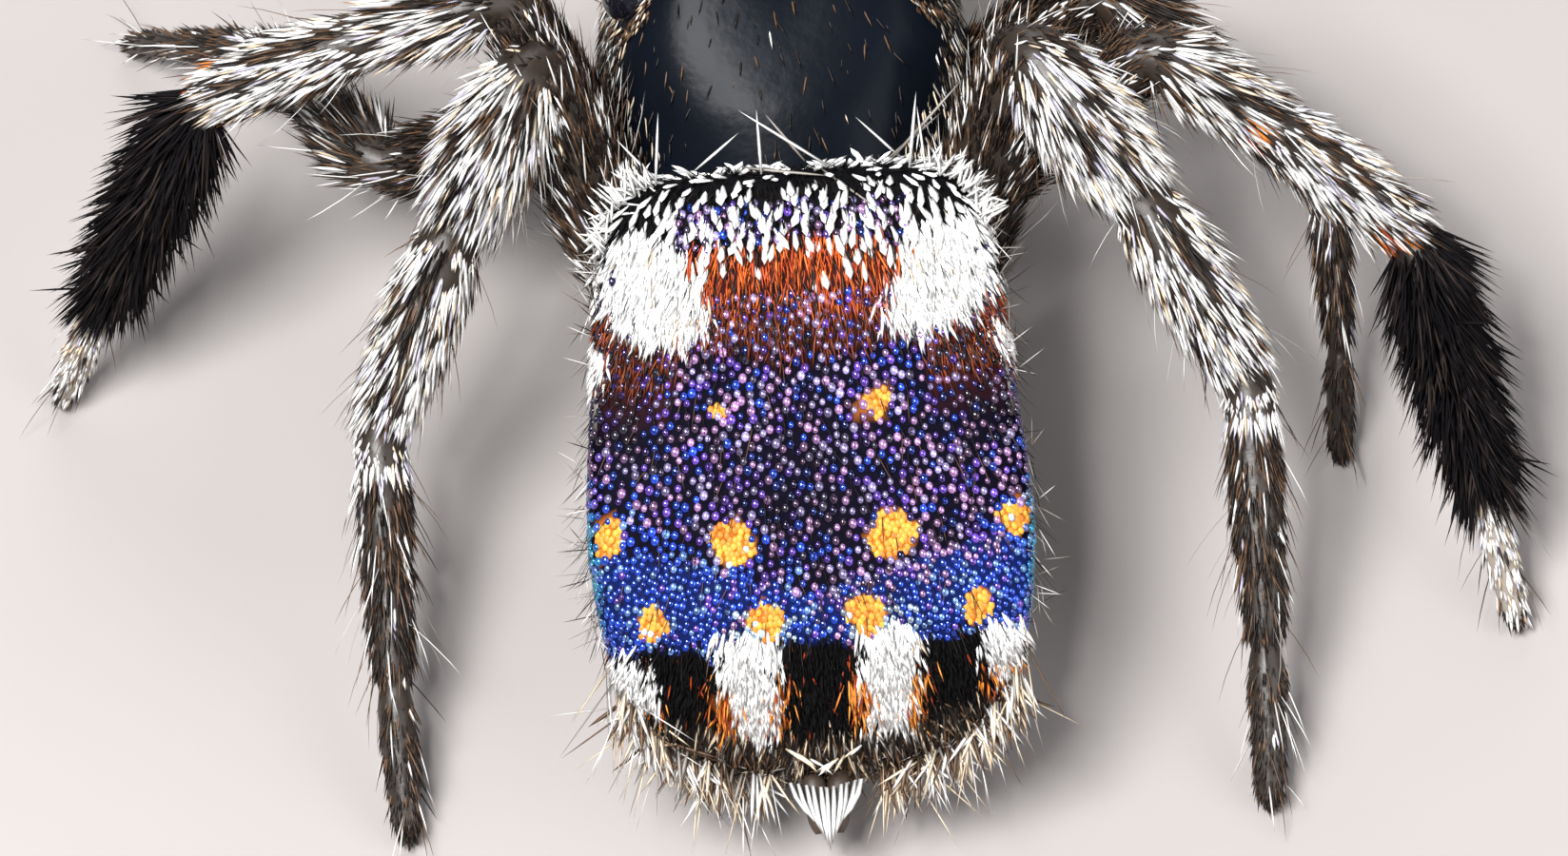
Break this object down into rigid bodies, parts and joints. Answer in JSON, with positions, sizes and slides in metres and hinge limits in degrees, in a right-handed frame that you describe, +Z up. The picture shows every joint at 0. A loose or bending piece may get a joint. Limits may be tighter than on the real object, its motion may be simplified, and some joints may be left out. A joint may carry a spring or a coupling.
{
  "type": "jumping spider figure",
  "caption": "Life-size male peacock spider, standing still on all feet, with a flat square-shouldered abdomen plate, striped legs and dark leg brushes",
  "frame": {"origin": "on the floor, under the middle of the bounding box", "axes": "+Z up; the head faces -Y and the spinnerets +Y; the spider's left side is +X"},
  "size_m": [0.0066, 0.0066, 0.0023],
  "materials": {
    "shell": "glossy dark cuticle under short hair",
    "eye": "polished black lens",
    "leg": "dark cuticle under pale and dark striped bristles",
    "brush": "matt black bristles",
    "sock": "matt white bristles with dark tips",
    "plate": "small satin purple and blue scales with orange spots, white patches and black velvet",
    "palp": "cream bristles",
    "spinneret_tuft": "white hair tuft"
  },
  "bodies": {
    "root": {"abdomen": "plate", "carapace": "shell", "eye_front_middle_left": "eye", "eye_front_middle_right": "eye", "eye_front_side_left": "eye", "eye_front_side_right": "eye", "eye_rear_left": "eye", "eye_rear_right": "eye", "eye_tiny_left": "eye", "eye_tiny_right": "eye", "jaw_left": "shell", "jaw_right": "shell", "leg1_left_femur": "leg", "leg1_left_foot": "leg", "leg1_left_patella": "leg", "leg1_left_tibia": "leg", "leg1_right_femur": "leg", "leg1_right_foot": "leg", "leg1_right_patella": "leg", "leg1_right_tibia": "leg", "leg2_left_femur": "leg", "leg2_left_foot": "leg", "leg2_left_patella": "leg", "leg2_left_tibia": "leg", "leg2_right_femur": "leg", "leg2_right_foot": "leg", "leg2_right_patella": "leg", "leg2_right_tibia": "leg", "leg3_left_femur": "leg", "leg3_left_metatarsus": "brush", "leg3_left_patella": "leg", "leg3_left_tarsus": "sock", "leg3_left_tibia": "leg", "leg3_right_femur": "leg", "leg3_right_metatarsus": "brush", "leg3_right_patella": "leg", "leg3_right_tarsus": "sock", "leg3_right_tibia": "leg", "leg4_left_femur": "leg", "leg4_left_foot": "leg", "leg4_left_patella": "leg", "leg4_left_tibia": "leg", "leg4_right_femur": "leg", "leg4_right_foot": "leg", "leg4_right_patella": "leg", "leg4_right_tibia": "leg", "palp_arm_left": "palp", "palp_arm_right": "palp", "palp_tip_left": "palp", "palp_tip_right": "palp", "spinnerets": "spinneret_tuft", "sternum": "shell", "waist": "shell"}
  },
  "joints": []
}
